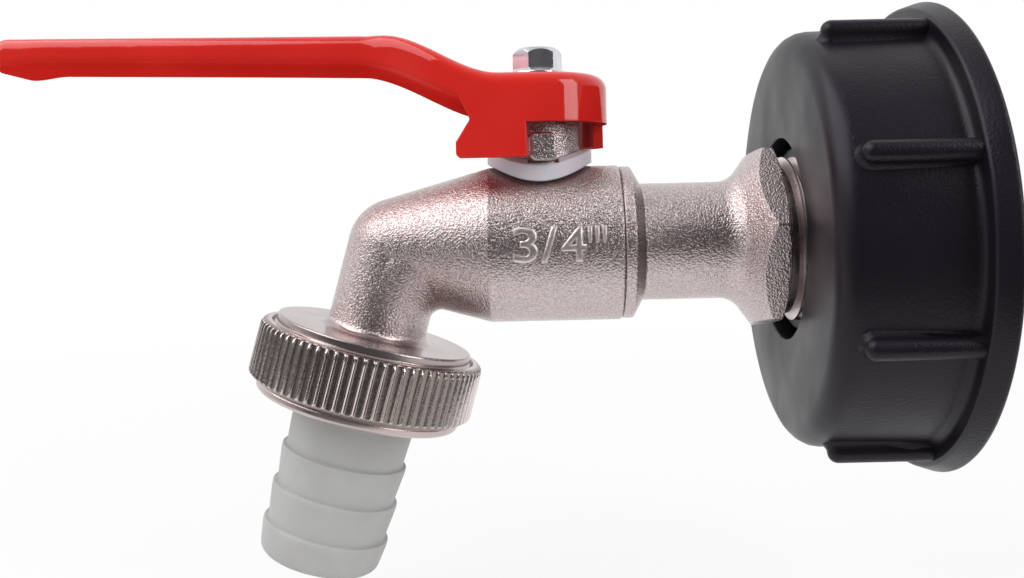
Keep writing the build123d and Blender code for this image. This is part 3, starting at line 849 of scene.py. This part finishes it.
def tail_piece():
    """Hose tail with eased barb lips."""
    bm = bmesh.new()
    flange_end = tail_start + flange_len
    corners = [(tail_bore_r, tail_start), (flange_r, tail_start), (flange_r, flange_end),
               (stub_r, flange_end), (barb_root_r, barb_zero, barb_foot)]
    for index in range(barb_count):
        edge = barb_zero + index * barb_pitch
        corners += [(barb_crest_r, edge, barb_front_edge),
                    (barb_crest_r, edge + barb_land, barb_back_edge)]
        if index < barb_count - 1:
            corners += [(barb_root_r, edge + barb_pitch, barb_foot)]
    corners += [(barb_root_r, tail_tip, tip_outer_edge), (tail_bore_r, tail_tip, tip_inner_edge)]
    draw_profile(bm, corners)
    turn_profile(bm)
    finish_piece("tail_piece", bm, spout_frame, "hose_tail", [grey],
                 ["hose_tail"], 60)


# Numerals cast on the barrel

def raised_sign(bm, sign, left, width, low, height):
    """Adds one raised sign, bent round the barrel, to a mesh."""
    text = bpy.data.curves.new("sign", "FONT")
    text.body = sign
    text.extrude = 0.07
    text.bevel_depth = 0.055
    text.bevel_resolution = 3
    text.offset = -0.03
    flat = bpy.data.objects.new("sign", text)
    bpy.context.scene.collection.objects.link(flat)
    bpy.context.view_layer.update()
    depsgraph = bpy.context.evaluated_depsgraph_get()
    mesh = bpy.data.meshes.new_from_object(flat.evaluated_get(depsgraph))
    bpy.data.objects.remove(flat)
    sign_bm = bmesh.new()
    sign_bm.from_mesh(mesh)
    long_edges = [edge for edge in sign_bm.edges if edge.calc_length() > longest_sign_edge]
    bmesh.ops.subdivide_edges(sign_bm, edges=long_edges, cuts=4, use_grid_fill=True)
    least, most = [[pick(vert.co[i] for vert in sign_bm.verts) for i in range(3)]
                   for pick in (min, max)]
    for vert in sign_bm.verts:
        share = [(vert.co[i] - least[i]) / (most[i] - least[i]) for i in range(3)]
        radius = barrel_r + numeral_rise * (2 * share[2] - 1)
        angle = (low + height * share[1]) / barrel_r
        vert.co = Vector((left + width * share[0], -radius * cos(angle), radius * sin(angle)))
    sign_bm.to_mesh(mesh)
    sign_bm.free()
    bm.from_mesh(mesh)
    bpy.data.meshes.remove(mesh)


def numerals():
    """Raised size numerals of the casting, with short inch marks."""
    bm = bmesh.new()
    for sign, start, width in numeral_signs:
        raised_sign(bm, sign, numeral_left + start, width, numeral_low, numeral_height)
    mark_low = numeral_low + numeral_height - mark_height
    for index in range(mark_count):
        left = numeral_left + mark_start + mark_step * index
        raised_sign(bm, "'", left, mark_width, mark_low, mark_height)
    # The numerals take the lighter nickel: partly wear of the plate, partly painted light on their faces.
    finish_piece("size_numerals", bm, Matrix.Scale(MM, 4), "tap", [worn_and_lit], (), 50)


# Carried-over nodes get their finish

def dress(node, material):
    """Gives a node of the frame its finish."""
    mesh = nodes[node].data
    mesh.materials.clear()
    mesh.materials.append(material)


for node, material in [
        ("cap_gasket", rubber), ("valve_body", cast), ("ball", polished),
        ("front_seat", milky), ("rear_seat", milky), ("stem", brass),
        ("stem_thrust_washer", milky), ("stem_o_ring_lower", rubber),
        ("stem_o_ring_upper", rubber), ("saddle_washer", milky), ("lever", red),
        ("lever_screw", zinc), ("tail_gasket", rubber)]:
    dress(node, material)

cap_shell()
cap_ribs()
cap_webs()
tank_thread()
connector_body()
connector_hexagon()
pipe_thread()
nut_piece()
tail_piece()
numerals()


# Floor, light and camera

def pale_floor():
    """Floor under the slid hose tail, white to the eye but for the tap's soft shadow."""
    bm = bmesh.new()
    bmesh.ops.create_grid(bm, x_segments=8, y_segments=8, size=floor_size)
    bmesh.ops.translate(bm, vec=(0, floor_size - floor_front, cad_box[0][2] - floor_drop),
                        verts=bm.verts)
    mesh = bpy.data.meshes.new("floor")
    bm.to_mesh(mesh)
    bm.free()
    floor = bpy.data.objects.new("floor", mesh)
    bpy.context.scene.collection.objects.link(floor)
    material, shader = new_finish("pale_floor", Metallic=0.0, Roughness=0.9,
                                  Base_Color=(0.85, 0.85, 0.85, 1))
    tree = material.node_tree
    offset = vector_step(material, "SUBTRACT", object_place(material), elbow * MM)["Vector"]
    far = vector_step(material, "LENGTH", offset)["Value"]
    frontward = run_along(material, mouth, Vector((0, -1, 0)))
    white_share = tree_step(
        tree, "MAXIMUM", spread(material, far, shadow_share, 1, shadow_from, shadow_to),
        spread(material, frontward, shadow_share, 1, front_fade_from / MM, floor_front / MM))
    path = tree.nodes.new("ShaderNodeLightPath").outputs
    seen = tree_step(tree, "MAXIMUM", path["Is Camera Ray"], path["Is Transmission Ray"])
    seen = tree_step(tree, "MAXIMUM", seen, path["Is Glossy Ray"])
    glow = tree.nodes.new("ShaderNodeEmission")
    mix = tree.nodes.new("ShaderNodeMixShader")
    tree.links.new(tree_step(tree, "MULTIPLY", seen, white_share), mix.inputs[0])
    tree.links.new(shader.outputs[0], mix.inputs[1])
    tree.links.new(glow.outputs[0], mix.inputs[2])
    tree.links.new(mix.outputs[0], tree.nodes["Material Output"].inputs["Surface"])
    mesh.materials.append(material)


def studio_world():
    """White room; metal and paint see it grow dark towards the front, behind the camera."""
    world = bpy.data.worlds.new("studio")
    bpy.context.scene.world = world
    world.use_nodes = True
    tree = world.node_tree
    room = tree.nodes["Background"]
    room.inputs["Color"].default_value = (1, 1, 1, 1)
    place = tree.nodes.new("ShaderNodeTexCoord")
    parts = tree.nodes.new("ShaderNodeSeparateXYZ")
    tree.links.new(place.outputs["Generated"], parts.inputs[0])
    front = tree.nodes.new("ShaderNodeMapRange")
    for socket, value in (("From Min", dark_from), ("From Max", dark_to), ("To Min", dark_level)):
        front.inputs[socket].default_value = value
    tree.links.new(parts.outputs["Y"], front.inputs["Value"])
    path = tree.nodes.new("ShaderNodeLightPath").outputs
    seen = tree_step(tree, "MAXIMUM", path["Is Camera Ray"], path["Is Transmission Ray"])
    gloss = tree_step(tree, "MULTIPLY", path["Is Glossy Ray"], front.outputs["Result"])
    fill = tree_step(tree, "MULTIPLY", path["Is Diffuse Ray"], ambient_level)
    level = tree_step(tree, "MAXIMUM", seen, tree_step(tree, "MAXIMUM", gloss, fill))
    tree.links.new(level, room.inputs["Strength"])


def softbox(name, azimuth, elevation, width, height, level):
    """Rectangular lamp at a direction from the tap, with a surface as bright as level."""
    target = Vector((stem_x * MM, 0, 0))
    turn, rise = radians(azimuth), radians(elevation)
    place = target + lamp_distance * Vector((
        cos(rise) * cos(turn), cos(rise) * sin(turn), sin(rise)))
    lamp = bpy.data.lights.new(name, "AREA")
    lamp.shape = "RECTANGLE"
    lamp.size = width
    lamp.size_y = height
    lamp.energy = level * pi * width * height
    holder = bpy.data.objects.new(name, lamp)
    holder.location = place
    holder.rotation_euler = (target - place).to_track_quat("-Z", "Y").to_euler()
    bpy.context.scene.collection.objects.link(holder)


def photo_camera():
    """Camera where the photograph was taken from, with its small roll and shift."""
    focal_px, image_width, image_height = 1059.62, 1024, 578
    centre_px = (526.58, 202.24)
    sensor_mm = 36
    lens = bpy.data.cameras.new("photo_camera")
    lens.sensor_width = sensor_mm
    lens.lens = sensor_mm * focal_px / image_width
    lens.shift_x = (image_width / 2 - centre_px[0]) / image_width
    lens.shift_y = (centre_px[1] - image_height / 2) / image_width
    lens.clip_start = 0.01
    lens.clip_end = 20
    holder = bpy.data.objects.new("photo_camera", lens)
    right = Vector((cos(camera_roll), 0, sin(camera_roll)))
    up = Vector((-sin(camera_roll), 0, cos(camera_roll)))
    turn = Matrix((right, up, right.cross(up))).transposed().to_4x4()
    holder.matrix_world = Matrix.Translation(camera_place) @ turn
    bpy.context.scene.collection.objects.link(holder)
    bpy.context.scene.camera = holder


pale_floor()
studio_world()
for name, azimuth, elevation, width, height, level in softboxes:
    softbox(name, azimuth, elevation, width, height, level)
photo_camera()
bpy.context.scene.view_settings.view_transform = "Standard"
